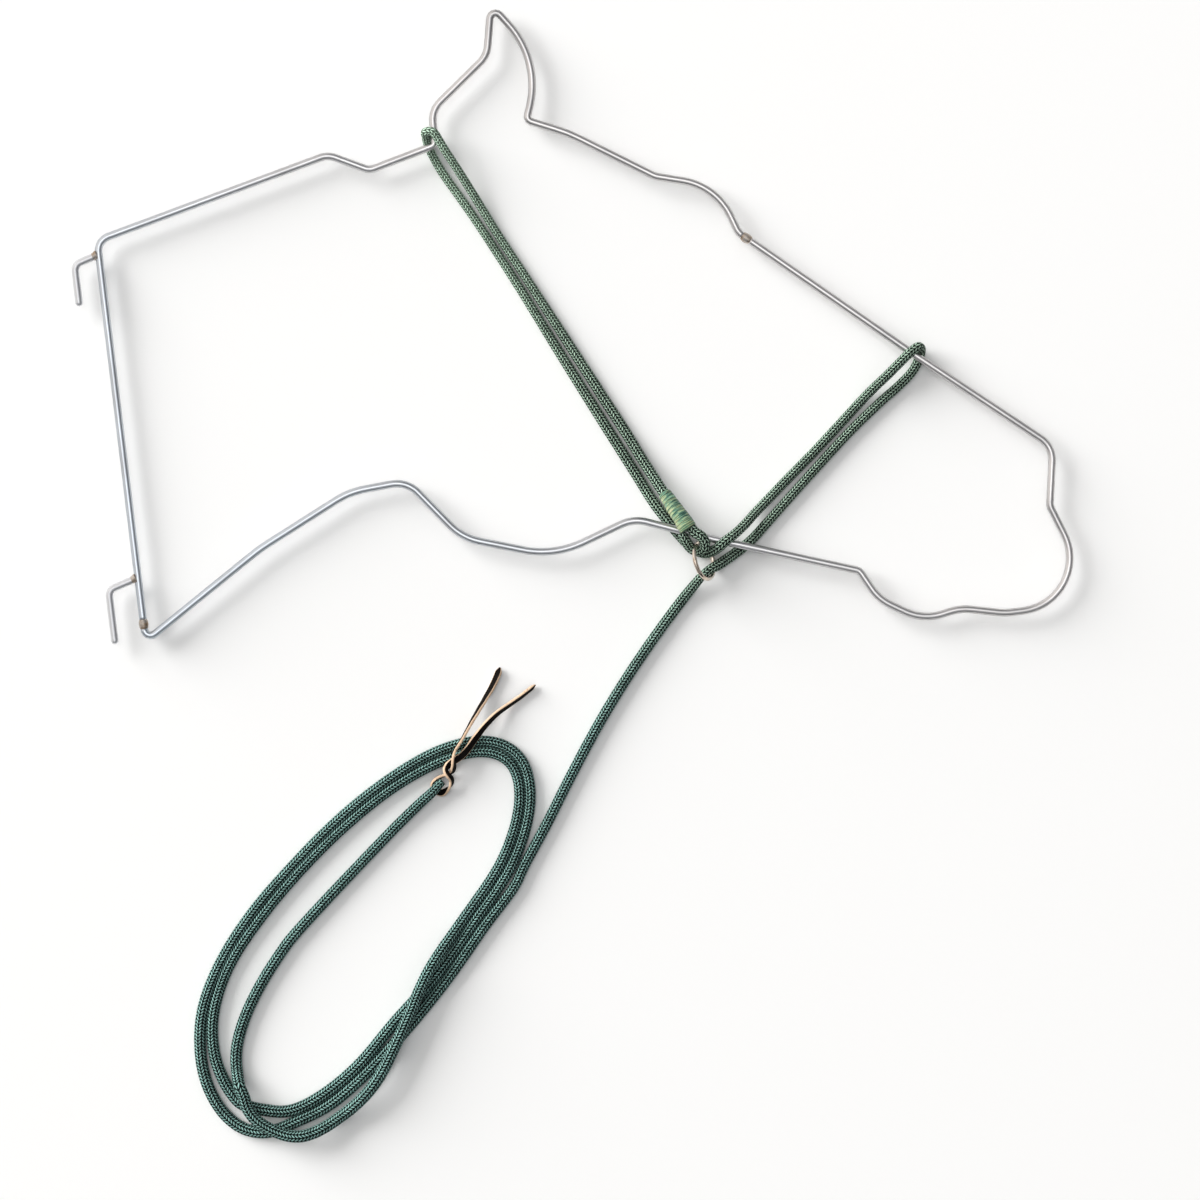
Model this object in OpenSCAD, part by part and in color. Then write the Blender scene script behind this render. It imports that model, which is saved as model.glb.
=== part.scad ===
// Rope halter and lead laid over a bent-wire horse-head display hanger.
// Millimetres. The table is Z = 0 and Z points up, away from it. The hanger's
// box is centred on X = 0, Y = 0; its hooks are at the left, on -X.

/* [Hanger] */
// Thickness of the hanger's wire
wire_d = 7; // [5:0.5:8]
// Space between a lying rope or wire and the one that crosses over it
seat = 0.2; // [0.1:0.1:0.6]
// How far the upper hook's leg stands off the upright, centre to centre
upper_hook_reach = 24; // [19.2:2.4:33.6]
// How far the lower hook's leg stands off the upright, centre to centre
lower_hook_reach = 28.8; // [19.2:2.4:33.6]
// Length of the upper hook's leg below its bend
upper_hook_drop = 30; // [25:1:60]
// Length of the lower hook's leg below its bend
lower_hook_drop = 42; // [25:1:60]
// Distance between the two hooks, four cells of a wire grid panel
hook_pitch = 306; // [290:1:315]
// Bend radius of the hooks, to the wire's centre
hook_bend_r = 8; // [6:1:10]
// Outer diameter of a weld bead round a wire
weld_d = 9.4; // [9:0.2:12]

/* [Rope] */
// Diameter of the braided rope
rope_d = 11; // [9:0.5:11]
// Diameter of the rope's tapered free end
rope_tip_d = 6.5; // [5:0.5:9]
// Diameter of the whipping at its middle
whip_d = 16.4; // [14:0.2:18]

/* [Ring] */
// Outer diameter of the lead's ring
ring_d = 39; // [38:0.5:42]
// Thickness of the ring's wire
ring_wire_d = 4; // [3:0.5:4]
// How far the ring leans up from the table, in degrees
ring_lean = 60; // [50:1:70]

/* [Lead coil] */
// Half of the coil's length, to the centre of its outer loop
coil_a = 221; // [200:1:240]
// Half of the coil's width, to the centre of its outer loop
coil_b = 93; // [80:1:110]
// Direction of the coil's long axis from +X, in degrees
coil_turn = 45.5; // [40:0.5:50]

/* [Popper] */
// Thickness of the leather strap
strap_t = 2.6; // [2:0.2:3]
// Width of the leather strap
strap_w = 6.5; // [5.5:0.5:7.5]

/* [Hidden] */
$fn = 24;
wire_r = wire_d / 2;
rope_r = rope_d / 2;
lie_z = 0.4 * rope_d;                   // a lying rope, pressed flat by a tenth
wire_z = 0.9 * rope_d + seat + wire_r;  // a wire that lies on a lying rope
over_z = wire_z + wire_r + seat + rope_r;
step_z = over_z - lie_z;
ring_r = (ring_d - ring_wire_d) / 2;
ring_z = ring_r * sin(ring_lean) + ring_wire_d / 2;

// ---- the bent wires: [x, y, bend radius] ----
up_x = -422;
hook_y = [129, 129 - hook_pitch];
weld_len = 8;
base_y = hook_y[1] - 44;
brow = [184, 71];
brow_dir = [144, -128] / norm([144, -128]);
neck_route = [[up_x, base_y + weld_len / 2, 0], [up_x, 142, 14],
  [-197, 196, 20], [-160, 177, 12], [-96, 193, 5], [-95, 226, 24],
  [-37.5, 270.5, 24], [-28, 317.5, 5.5], [12.5, 260, 85], [-8, 206, 5],
  [30, 189, 150], [106, 139, 16], [162, 123, 60], [177.25, 77, 15],
  concat(brow - brow_dir * weld_len / 2, [0])];
face_route = [concat(brow + brow_dir * weld_len / 2, [0]), [328, -57, 80],
  [446.5, -158, 24], [437, -213, 10], [471, -308, 50], [383, -308, 60],
  [342, -298.5, 50], [306, -305.5, 50], [267, -281, 45], [252, -252, 7],
  [120, -206.4, 60], [47, -177.9, 35], [-31, -204, 90], [-115, -176.5, 55],
  [-160, -117.5, 28], [-215, -121, 80], [-305, base_y + 57, 150],
  [up_x, base_y - 16.3, 6], [up_x, base_y - weld_len / 2, 0]];
hook_gap = 0.5;              // weld metal between its end and the upright

// ---- the rope: [x, y, height from lying (0) to over the wire (1), radius] ----
// the eye round the ring, out of the whipping and back through it
eye_route = [[90, -197, 1.02, 0.75], [92, -202, 0.96, 0.92],
  [94, -206.5, 0.83, 1], [97.2, -212.2, 0.7, 1], [101.2, -216.2, 0.72, 1],
  [105.8, -217, 0.82, 1], [109.8, -213.4, 1.05, 1],
  [110.4, -207.4, 1.22, 1], [107.4, -202, 1.28, 1], [102.5, -198, 1.27, 1],
  [95.5, -186.5, 1.14, 1], [86.5, -172.5, 0.9, 1], [79, -159, 0.68, 1]];
// up the front of the head, round the poll, and down behind
crown_route = [[70, -140.5, 0.42, 1], [61, -121.5, 0.2, 1],
  [50, -97, 0.04, 1], [36, -68, 0, 1], [5.5, -4.5, 0, 0.95],
  [-24.8, 59.7, 0, 0.88], [-46.6, 104.5, 0, 0.86], [-57.6, 126.9, 0.1, 0.85],
  [-67.2, 147.5, 0.35, 0.85], [-77, 168, 0.7, 0.85],
  [-85.2, 185.4, 0.95, 0.85], [-90.6, 196, 1.01, 0.86],
  [-96.5, 203.8, 1.04, 0.88], [-103.2, 206.6, 0.86, 0.88],
  [-105.4, 202.6, 0.42, 0.86], [-104.8, 197.2, 0.07, 0.85],
  [-102.8, 191.2, 0, 0.85], [-93.8, 169.1, 0, 0.85], [-80.1, 143.7, 0, 0.85],
  [-66.5, 118, 0, 0.85], [-35.7, 54.4, 0, 0.88], [-6, -9.5, 0, 0.95],
  [24.3, -73.6, 0, 1], [54.8, -137.6, 0, 1], [68.2, -165.4, 0, 1],
  [79.6, -184.7, 0, 1], [88, -198, 0, 1], [96, -209, 0.06, 1],
  [104, -217.5, 0.08, 1]];
// out through the ring, over the jaw, round the nose and back to the ring
nose_route = [[111.8, -220, 0.31, 1], [118.2, -218.4, 0.63, 0.98],
  [123.8, -214, 0.94, 0.96], [130.5, -208, 1.03, 0.95],
  [140.3, -201.1, 0.9, 0.93], [150.7, -193.7, 0.56, 0.93],
  [161.7, -184.7, 0.2, 0.92], [175.6, -174, 0.02, 0.92],
  [193.3, -159.6, 0, 0.92], [225, -133.7, 0, 0.92],
  [255.5, -108, 0, 0.92], [271, -94.5, 0.06, 0.92],
  [285.5, -82.5, 0.3, 0.92], [299, -71.5, 0.65, 0.92],
  [311, -62.5, 0.93, 0.92], [321, -56, 1.04, 0.92], [330, -50, 0.95, 0.92],
  [334.8, -49.6, 0.56, 0.92], [335.8, -53.5, 0.1, 0.92],
  [333, -59.5, 0, 0.92], [325, -70.5, 0, 0.92], [310.6, -82.5, 0, 0.92],
  [293.2, -94.6, 0, 0.92], [261.6, -118.5, 0, 0.92],
  [231.2, -144.1, 0, 0.92], [200.2, -171.1, 0, 0.92],
  [168.5, -199.5, 0, 0.94], [154, -210, 0, 0.96], [142, -216.5, 0, 0.98],
  [131, -222.5, 0.06, 1], [120.5, -229.5, 0.36, 1]];
// through the ring again and away as the lead
lead_route = [[111.5, -232.2, 0.56, 1], [103, -238, 0.46, 1],
  [93, -247, 0.2, 1], [83, -258, 0.02, 1], [56.5, -287.5, 0, 1],
  [23, -326, 0, 1], [-8.5, -366, 0, 1], [-39.5, -410, 0, 1],
  [-69.5, -455, 0, 1], [-95, -493, 0, 1], [-102, -503, 0, 1]];
// the coil's free end, to its tapered tip in the popper's loop
end_route = [[-220.5, -445, 0, 1], [-197, -426, 0.03, 0.96],
  [-183, -416.2, 0.1, 0.8], [-171.5, -409, 0.17, 0.66],
  [-165, -404.8, 0.15, 0.62], [-160.8, -402, 0.12, rope_tip_d / rope_d]];

function rise(route) = [for (p = route) [p[0], p[1], lie_z + p[2] * step_z]];
function radii(route) = [for (p = route) p[3] * rope_r];

// ---- the coil: one inward spiral on an egg-shaped loop, in degrees ----
coil_c = [-268, -552.5];
coil_step = 15;   // 24 rings in a loop
// how far inside the outer loop the rope runs: [angle, millimetres]
coil_in = [[60, -5], [75, -1.5], [90, 0], [330, 0], [390, 1], [405, 5],
  [420, 8.5], [435, 11], [450, 12.5], [480, 17], [510, 22], [540, 25],
  [555, 22], [585, 14], [600, 12.5], [690, 12.5], [750, 13.5], [765, 18],
  [780, 21.5], [795, 23], [810, 6], [825, -12.5], [840, -15],
  [855, -13], [870, 3], [885, 19], [900, 30], [915, 33.5], [945, 35],
  [975, 41], [1005, 47.5]];
// how much of a rope's height it is lifted where it crosses itself
coil_up = [[60, 0], [780, 0], [795, 1], [825, 1], [840, 0.5], [855, 1],
  [915, 1], [930, 0.1], [945, 0], [1005, 0]];
function loop_at(s) = let (u = coil_a * cos(s) + 26 * cos(2 * s),
    v = -(coil_b + 15.5 * cos(s)) * sin(s) - 4.5 * cos(2 * s))
  coil_c + [u * cos(coil_turn) - v * sin(coil_turn),
            u * sin(coil_turn) + v * cos(coil_turn)];
function coil_at(s) = let (d = loop_at(s + 0.5) - loop_at(s - 0.5),
    n = [d[1], -d[0]] / norm(d), p = loop_at(s) + lookup(s, coil_in) * n)
  [p[0], p[1], lie_z + lookup(s, coil_up) * (rope_d + 0.5)];
coil_loops = [for (s = [60:coil_step:990]) coil_at(s)];
coil_pts = concat([[-102, -503, lie_z], [-108.5, -511.5, lie_z]], coil_loops,
  rise(end_route));
coil_rad = concat([for (i = [0:1 + len(coil_loops)]) rope_r], radii(end_route));
// the least gap between two turns, measured on points along the coil
coil_dense = [for (i = [0:len(coil_pts) - 2]) for (k = [0:3])
  coil_pts[i] + (coil_pts[i + 1] - coil_pts[i]) * k / 4];
function turn_gap(a, first) = min([for (i = [0:len(a) - first])
  for (j = [i + first - 1:len(a) - 1]) if (j > i) norm(a[i] - a[j])]) - rope_d;
echo(least_gap_in_coil = turn_gap(coil_dense, 40));
echo(coil_length = sum_len(coil_pts));
function sum_len(p, i = 1, t = 0) = i == len(p) ? t
  : sum_len(p, i + 1, t + norm(p[i] - p[i - 1]));

// ---- the whipping's centre line and radius ----
whip_route = [[78.3, -157.8, 0.66, 0.8], [81, -162.5, 0.74, 0.82],
  [86, -172.5, 0.91, 0.9], [91.5, -183, 1.08, 0.98],
  [95.5, -191.5, 1.17, 1.04], [98.6, -197.8, 1.19, 1.06]];

// ---- the popper: [x, y, z, tilt], tilt 0 on edge and 90 flat ----
popper_route = [[-63.5, -322, 3.5, -22], [-77.5, -331, 3.5, -26],
  [-92.5, -339, 5, -32], [-104, -345.5, 9, -38], [-114.5, -354, 12.6, -46],
  [-124.5, -364, 13.2, -56], [-133.5, -374, 12.7, -66],
  [-140.5, -380, 12.3, -76], [-146, -383, 12, -80],
  [-150.5, -385.2, 11.9, -78], [-154.4, -387.8, 12.2, -52],
  [-156.8, -390.6, 12.2, -22], [-157, -393.8, 12.6, -4],
  [-155.4, -397, 12.6, 4], [-153, -400.2, 10.8, 12],
  [-151.6, -403.8, 7.4, 20], [-153.4, -408.2, 4.3, 36],
  [-157.6, -412, 2.7, 64], [-162.5, -413.4, 1.6, 88],
  [-166.8, -411.4, 1.5, 90], [-169.4, -408, 1.5, 86],
  [-170, -404.2, 2.8, 56], [-167.8, -400.4, 3.5, 26],
  [-163, -397.8, 3.5, 12], [-157.6, -396.2, 3.8, 6],
  [-152.6, -394.2, 8, 4], [-150.4, -391.2, 13.9, 2],
  [-149.4, -388, 16.7, 0], [-149, -384.5, 17.6, 0],
  [-148, -380.3, 17.6, -2], [-146, -375.2, 16, -4], [-139, -366, 14, -8],
  [-130, -353.5, 12.8, -14], [-118.5, -338, 7.6, -22],
  [-105.5, -321, 3.6, -32], [-99, -310.5, 3.5, -36],
  [-94.4, -302, 3.5, -38]];

// ---- functions for bent wire and swept rope ----
function unit(v) = v / norm(v);
function bend_t(a, b, c) = let (u = unit([a[0] - b[0], a[1] - b[1]]),
  w = unit([c[0] - b[0], c[1] - b[1]]), h = acos(u * w) / 2) b[2] / tan(h);
function tangents(p) = let (m = len(p) - 1) [for (i = [0:m])
  i == 0 ? unit(p[1] - p[0]) : i == m ? unit(p[m] - p[m - 1])
  : unit(unit(p[i + 1] - p[i]) + unit(p[i] - p[i - 1]))];
function carry(t, i, u) = unit(u - (u * t[i]) * t[i]);
function frames(t) = [for (i = 0, u = carry(t, 0, unit(cross(t[0], [0, 0, 1])));
  i < len(t); i = i + 1, u = i < len(t) ? carry(t, i, u) : u) u];
// one ring of points, flat where it would go below the table
function ring_pts(c, t, u, r, n) = let (w = cross(u, t)) [for (k = [0:n - 1])
  let (a = 360 * (k + 0.5) / n, q = c + r * (cos(a) * u + sin(a) * w))
  [q[0], q[1], max(q[2], 0)]];
function tube_faces(m, n) = concat(
  [for (k = [1:n - 2]) [0, k + 1, k]],
  [for (k = [1:n - 2]) [(m - 1) * n, (m - 1) * n + k, (m - 1) * n + k + 1]],
  [for (i = [0:m - 2]) for (k = [0:n - 1]) let (a = i * n + k,
    b = i * n + (k + 1) % n) each [[a, b, a + n], [b, b + n, a + n]]]);

// a round rope along points p with radii r, from ring i0 to ring i1
module rope(p, r, n, i0, i1) {
  t = tangents(p);
  f = frames(t);
  polyhedron([for (i = [i0:i1]) each ring_pts(p[i], t[i], f[i], r[i], n)],
    tube_faces(i1 - i0 + 1, n), convexity = 10);
}

// a flat strap along a route of [x, y, z, tilt]
module strap(route, w, th) {
  t = tangents([for (q = route) [q[0], q[1], 0]]);
  polyhedron([for (i = [0:len(route) - 1]) let (s = [t[i][1], -t[i][0], 0],
      a = route[i][3], up = [0, 0, cos(a)] - s * sin(a),
      across = s * cos(a) + [0, 0, sin(a)],
      c = [route[i][0], route[i][1], route[i][2]])
      each [for (k = [[1, 1], [-1, 1], [-1, -1], [1, -1]])
        let (q = c + k[0] * across * th / 2 + k[1] * up * w / 2)
        [q[0], q[1], max(q[2], 0)]]],
    tube_faces(len(route), 4), convexity = 10);
}

// the points of a bent wire along a route of [x, y, bend radius]
function bend_pts(a, b, c) = let (t = bend_t(a, b, c), o = [b[0], b[1]],
  u = unit([a[0], a[1]] - o), w = unit([c[0], c[1]] - o),
  m = o + unit(u + w) * norm([t, b[2]]), s = o + u * t - m, e = o + w * t - m,
  turn = acos(unit(s) * unit(e)) * (s[0] * e[1] - s[1] * e[0] > 0 ? 1 : -1),
  n = ceil(abs(turn) / 15), first = atan2(s[1], s[0]))
  [for (k = [0:n]) [m[0] + b[2] * cos(first + turn * k / n),
    m[1] + b[2] * sin(first + turn * k / n), wire_z]];
function wire_pts(r) = let (m = len(r) - 1) concat(
  [[r[0][0], r[0][1], wire_z]],
  [for (i = [1:m - 1]) each bend_pts(r[i - 1], r[i], r[i + 1])],
  [[r[m][0], r[m][1], wire_z]]);
module wire(route) {
  p = wire_pts(route);
  rope(p, [for (q = p) wire_r], 16, 0, len(p) - 1);
}

// a hook: a sloping bridge, one bend and a leg with a rounded end
module hook(y, reach, drop) {
  leg_x = up_x - reach;
  bend_y = y - reach * 0.28 / 0.96 - 0.75 * hook_bend_r;
  translate([up_x, y, wire_z]) rotate([0, 90, atan2(-0.28, -0.96)])
    translate([0, 0, wire_r + hook_gap])
      cylinder(r = wire_r, h = reach / 0.96 - 0.75 * hook_bend_r - wire_r
        - hook_gap);
  translate([leg_x + hook_bend_r, bend_y, wire_z]) rotate(atan2(0.96, -0.28))
    rotate_extrude(angle = 73.7398)
      translate([hook_bend_r, 0]) circle(r = wire_r);
  translate([leg_x, bend_y, wire_z]) rotate([90, 0, 0]) {
    cylinder(r = wire_r, h = drop);
    translate([0, 0, drop]) rotate_extrude()
      polygon([[0, 0], [wire_r, 0], [wire_r - 0.3, 1.2],
        [wire_r - 1.1, 2.3], [wire_r - 2.2, 3], [0, 3.3]]);
  }
}

// a weld collar where a hook's wire meets the upright
module hook_weld(y) {
  translate([up_x, y, wire_z])
    difference() {
      rotate([0, 90, atan2(-0.28, -0.96)]) translate([0, 0, wire_r * 0.6])
        cylinder(r = weld_d / 2, h = wire_r * 0.4 + 2.6);
      rotate([0, 90, atan2(-0.28, -0.96)])
        translate([0, 0, wire_r + hook_gap]) cylinder(r = wire_r, h = 20);
      translate([0, -20, 0]) rotate([-90, 0, 0])
        cylinder(r = wire_r, h = 40);
    }
}

// a weld bead where two wires meet end to end
module butt_weld(at, turn) {
  translate([at[0], at[1], wire_z]) rotate([0, 90, turn])
    rotate_extrude()
      polygon([[0, -weld_len / 2], [wire_r, -weld_len / 2],
        [weld_d / 2 - 0.3, -weld_len / 4], [weld_d / 2, 0],
        [weld_d / 2 - 0.3, weld_len / 4], [wire_r, weld_len / 2],
        [0, weld_len / 2]]);
}

// ---- the whole halter rope as one route, cut into nodes at its rings ----
halter = concat(rise(eye_route), rise(crown_route), rise(nose_route),
  rise(lead_route));
halter_rad = concat(radii(eye_route), radii(crown_route), radii(nose_route),
  radii(lead_route));
n_crown = len(eye_route) + len(crown_route);
n_nose = n_crown + len(nose_route);
echo(crown_length = sum_len([for (i = [0:n_crown - 1]) halter[i]]));
echo(nose_length = sum_len([for (i = [n_crown - 1:n_nose]) halter[i]]));
echo(lead_length = sum_len([for (i = [n_nose:len(halter) - 1]) halter[i]]));
echo(levels = [lie_z, wire_z, over_z]);

module neck_wire() color("#c9ccd0") wire(neck_route);
module face_wire() color("#c9ccd0") wire(face_route);
module brow_weld() color("#a9a296")
  butt_weld(brow, atan2(brow_dir[1], brow_dir[0]));
module base_weld() color("#a9a296") butt_weld([up_x, base_y], 90);
module upper_hook() color("#c9ccd0") hook(hook_y[0], upper_hook_reach, upper_hook_drop);
module lower_hook() color("#c9ccd0") hook(hook_y[1], lower_hook_reach, lower_hook_drop);
module upper_hook_weld() color("#a9a296") hook_weld(hook_y[0]);
module lower_hook_weld() color("#a9a296") hook_weld(hook_y[1]);
module crown_rope() color("#5b8672")
  rope(halter, halter_rad, 12, 0, n_crown);
module nose_rope() color("#5b8672")
  rope(halter, halter_rad, 12, n_crown, n_nose);
module lead_rope() color("#6fa497")
  rope(halter, halter_rad, 12, n_nose, len(halter) - 1);
module lead_coil() color("#78beaf")
  rope(coil_pts, coil_rad, 6, 0, len(coil_pts) - 1);
module whipping() color("#bfe0c8")
  rope(rise(whip_route), [for (q = whip_route) q[3] * whip_d / 2], 16, 0,
    len(whip_route) - 1);
module popper() color("#2b2420") strap(popper_route, strap_w, strap_t);
module ring() color("#b9b2a4")
  translate([108, -225.1, ring_z]) rotate([0, ring_lean, 7.8])
    rotate_extrude() translate([ring_r, 0]) circle(r = ring_wire_d / 2);

neck_wire();
face_wire();
brow_weld();
base_weld();
upper_hook();
lower_hook();
upper_hook_weld();
lower_hook_weld();
crown_rope();
nose_rope();
whipping();
ring();
lead_rope();
lead_coil();
popper();
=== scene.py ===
"""A braided rope halter with its coiled lead, laid over a bent-wire
horse-head display hanger. Metres; the table is Z = 0."""
import math

import bmesh
import bpy
from bpy.props import FloatProperty, FloatVectorProperty, PointerProperty
from mathutils import Matrix, Vector, noise


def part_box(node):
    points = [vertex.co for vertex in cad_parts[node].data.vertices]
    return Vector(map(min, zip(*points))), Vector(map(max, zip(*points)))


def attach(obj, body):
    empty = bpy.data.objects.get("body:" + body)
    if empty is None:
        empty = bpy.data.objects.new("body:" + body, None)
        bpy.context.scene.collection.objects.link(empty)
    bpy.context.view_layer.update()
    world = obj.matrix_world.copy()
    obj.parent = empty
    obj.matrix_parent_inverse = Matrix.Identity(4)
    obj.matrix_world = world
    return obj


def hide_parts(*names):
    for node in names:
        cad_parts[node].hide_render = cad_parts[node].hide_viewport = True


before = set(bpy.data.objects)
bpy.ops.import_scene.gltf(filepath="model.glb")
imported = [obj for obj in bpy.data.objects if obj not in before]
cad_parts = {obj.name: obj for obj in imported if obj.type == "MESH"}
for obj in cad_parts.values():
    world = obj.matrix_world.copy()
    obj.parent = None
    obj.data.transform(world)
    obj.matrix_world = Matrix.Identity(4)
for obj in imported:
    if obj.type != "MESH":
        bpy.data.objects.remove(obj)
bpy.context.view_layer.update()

bl_info = {
    "name": "Rope Halter on a Display Hanger",
    "version": (1, 0, 0),
    "blender": (4, 5, 0),
    "location": "3D View > Sidebar > Halter",
    "description":
        "Builds a rope halter, its lead and the wire hanger it lies on",
    "category": "Add Mesh",
}

MM = 0.001
HOOK_LOW, HOOK_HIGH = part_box("upper_hook")
RING_LOW, RING_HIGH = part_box("ring")
WIRE_D = (HOOK_HIGH.z - HOOK_LOW.z) / MM
WIRE_Z = (HOOK_HIGH.z + HOOK_LOW.z) / 2 / MM
ROPE_D = 11.0
SKIN = 0.93            # the braid's share of the room that the rope takes
SEAT = 0.2
LIE_Z = 0.4 * ROPE_D
STEP_Z = ROPE_D / 2 + WIRE_D / 2 + SEAT + WIRE_Z - LIE_Z

# ---- routes, in millimetres: the solids' own, with some of the rope's points
# moved by up to 2.5 mm and the ropes thinner where they pass the ring ----
# rope: x, y, height from lying (0) to over the wire (1), share of its radius
EYE = [
    (90, -197, 1.02, 0.75), (92, -202, 0.96, 0.92), (94, -206.5, 0.83, 1),
    (97.2, -212.2, 0.7, 0.95), (101, -215, 0.72, 0.94),
    (105.4, -215.4, 0.82, 0.94),
    (109.8, -213.4, 1.05, 0.94), (110.4, -207.4, 1.22, 0.97),
    (107.4, -202, 1.28, 1),
    (102.5, -198, 1.27, 1), (95.5, -186.5, 1.14, 1), (86.5, -172.5, 0.9, 1),
    (79, -159, 0.68, 1)]
CROWN = [
    (70, -140.5, 0.42, 1), (61, -121.5, 0.2, 1), (50, -97, 0.04, 1),
    (35.9, -68, 0, 1), (5.2, -4.6, 0, 0.93), (-25.9, 59.2, 0, 0.84),
    (-47.9, 103.9, 0, 0.81), (-58.3, 126.6, 0.1, 0.8),
    (-67.9, 147.2, 0.35, 0.8), (-77.8, 167.6, 0.7, 0.8),
    (-86.5, 184.8, 0.95, 0.8), (-91.5, 195.5, 1.01, 0.81),
    (-96.2, 204.1, 1.04, 0.84), (-103, 205.2, 0.86, 0.84),
    (-103.4, 202.3, 0.42, 0.81), (-103.4, 197.5, 0.07, 0.8),
    (-102.1, 191.5, 0, 0.8), (-93.3, 169.3, 0, 0.8), (-79.7, 143.9, 0, 0.8),
    (-66.1, 118.2, 0, 0.8), (-35, 54.7, 0, 0.84), (-5.4, -9.2, 0, 0.93),
    (24.8, -73.4, 0, 1), (55.1, -137.5, 0, 1), (68.2, -165.4, 0, 1),
    (79.6, -184.7, 0, 1), (88, -198, 0, 1), (96, -209, 0.06, 0.92),
    (103.5, -216.1, 0.08, 0.86)]
NOSE = [
    (111.2, -218, 0.31, 1), (118, -216.8, 0.63, 0.98),
    (123.8, -214, 0.94, 0.95), (131.1, -208.8, 1.03, 0.93),
    (141.3, -202.6, 0.9, 0.89), (151.6, -194.8, 0.56, 0.89),
    (162.3, -185.5, 0.2, 0.88), (175.9, -174.4, 0.02, 0.88),
    (193.6, -159.9, 0, 0.88), (225.5, -134.3, 0, 0.88),
    (255.9, -108.5, 0, 0.88), (271.5, -95.1, 0.06, 0.88),
    (286.1, -83.2, 0.3, 0.88), (300, -72.8, 0.65, 0.88),
    (311.7, -63.5, 0.93, 0.88), (321.1, -56.2, 1.04, 0.88),
    (330.3, -50.5, 0.95, 0.88), (334, -51, 0.56, 0.88),
    (335, -53.4, 0.1, 0.88), (333, -59.5, 0, 0.88), (325.4, -70.9, 0, 0.88),
    (311, -83.1, 0, 0.88), (293.6, -95.1, 0, 0.88), (261.9, -118.9, 0, 0.88),
    (231.5, -144.5, 0, 0.88), (200.5, -171.4, 0, 0.88),
    (168.4, -199.7, 0, 0.91), (154.9, -211.2, 0, 0.95),
    (143.5, -218.8, 0, 0.98), (132.5, -224.8, 0.06, 1),
    (121.2, -230.6, 0.36, 1)]
LEAD = [
    (111.8, -234.4, 0.56, 0.86), (103.8, -239.8, 0.46, 0.86),
    (94.6, -248.5, 0.2, 0.95),
    (84, -258.9, 0.02, 1), (56.6, -287.6, 0, 1), (23, -326, 0, 1),
    (-8.5, -366, 0, 1), (-39.5, -410, 0, 1), (-69.5, -455, 0, 1),
    (-95.8, -492.4, 0, 1), (-102, -503, 0, 1)]
FREE_END = [
    (-219.2, -446.6, 0, 1), (-195.5, -428, 0.03, 0.98),
    (-181.9, -417.8, 0.12, 0.95), (-170.9, -410, 0.22, 0.9),
    (-165, -404.8, 0.27, 0.8), (-160.8, -402, 0.24, 0.66)]
WHIPPING = [
    (78.3, -157.8, 0.66, 0.8), (81, -162.5, 0.74, 0.82),
    (86, -172.5, 0.91, 0.9), (91.5, -183, 1.08, 0.98),
    (94.8, -190, 1.16, 1.04), (96.8, -194.2, 1.18, 1.05)]
# strap: x, y, z, degrees of lean, 0 on edge and 90 flat
POPPER = [
    (-63.5, -322, 3.5, -22), (-77.5, -331, 3.5, -26), (-92.5, -339, 5, -32),
    (-104, -345.5, 9, -38), (-114.5, -354, 12.6, -46),
    (-124.5, -364, 13.2, -56), (-133.5, -374, 12.7, -66),
    (-140.5, -380, 12.3, -76), (-146, -383, 12, -80),
    (-150.5, -385.2, 11.9, -78), (-154.4, -387.8, 12.2, -52),
    (-156.8, -390.6, 12.2, -30), (-156.6, -393.8, 12.6, -28),
    (-154.6, -397, 12.6, -34), (-152.8, -400.2, 10.8, -34),
    (-152.9, -403.8, 8.2, -22), (-155.2, -408, 6.4, 0),
    (-159.2, -411.2, 4.2, 34), (-163.2, -413, 2.4, 66),
    (-166.8, -411.4, 1.5, 90), (-169.4, -408, 1.5, 86),
    (-170, -404.2, 2.8, 56), (-167.8, -400.4, 3.5, 26),
    (-163, -397.8, 3.5, 12), (-157.6, -396.2, 3.8, 6), (-152, -394.2, 8, 18),
    (-149.4, -391.2, 13.9, 32), (-148.4, -388, 16.7, 26),
    (-148.4, -384.5, 17.6, 12), (-148, -380.3, 17.6, -2),
    (-146, -375.2, 16, -4), (-139, -366, 14, -8),
    (-130, -353.5, 12.8, -14), (-118.5, -338, 7.6, -28),
    (-105.5, -321, 3.6, -46), (-99, -310.5, 3.5, -56),
    (-94.4, -302, 3.5, -60)]
# bent wire: x, y, bend radius
NECK_WIRE = [
    (-422, -217, 0), (-422, 142, 14), (-197, 196, 20), (-160, 177, 12),
    (-96, 193, 5), (-95, 226, 24), (-37.5, 270.5, 24), (-28, 317.5, 5.5),
    (12.5, 260, 85), (-8, 206, 5), (30, 189, 150), (106, 139, 16),
    (162, 123, 60), (177.25, 77, 15), (181.01, 73.66, 0)]
FACE_WIRE = [
    (186.99, 68.34, 0), (328, -57, 80), (446.5, -158, 24), (437, -213, 10),
    (471, -308, 50), (383, -308, 60), (342, -298.5, 50), (306, -305.5, 50),
    (267, -281, 45), (252, -252, 7), (120, -206.4, 60), (47, -177.9, 35),
    (-31, -204, 90), (-115, -176.5, 55), (-160, -117.5, 28),
    (-215, -121, 80), (-305, -164, 150), (-422, -237.3, 6), (-422, -225, 0)]
UPRIGHT_X = -422
BROW, BASE = (184, 71), (-422, -221)
HOOKS = {"upper": (129, 24, 30), "lower": (-177, 28.8, 42)}
RING_LEAN = 60

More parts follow.
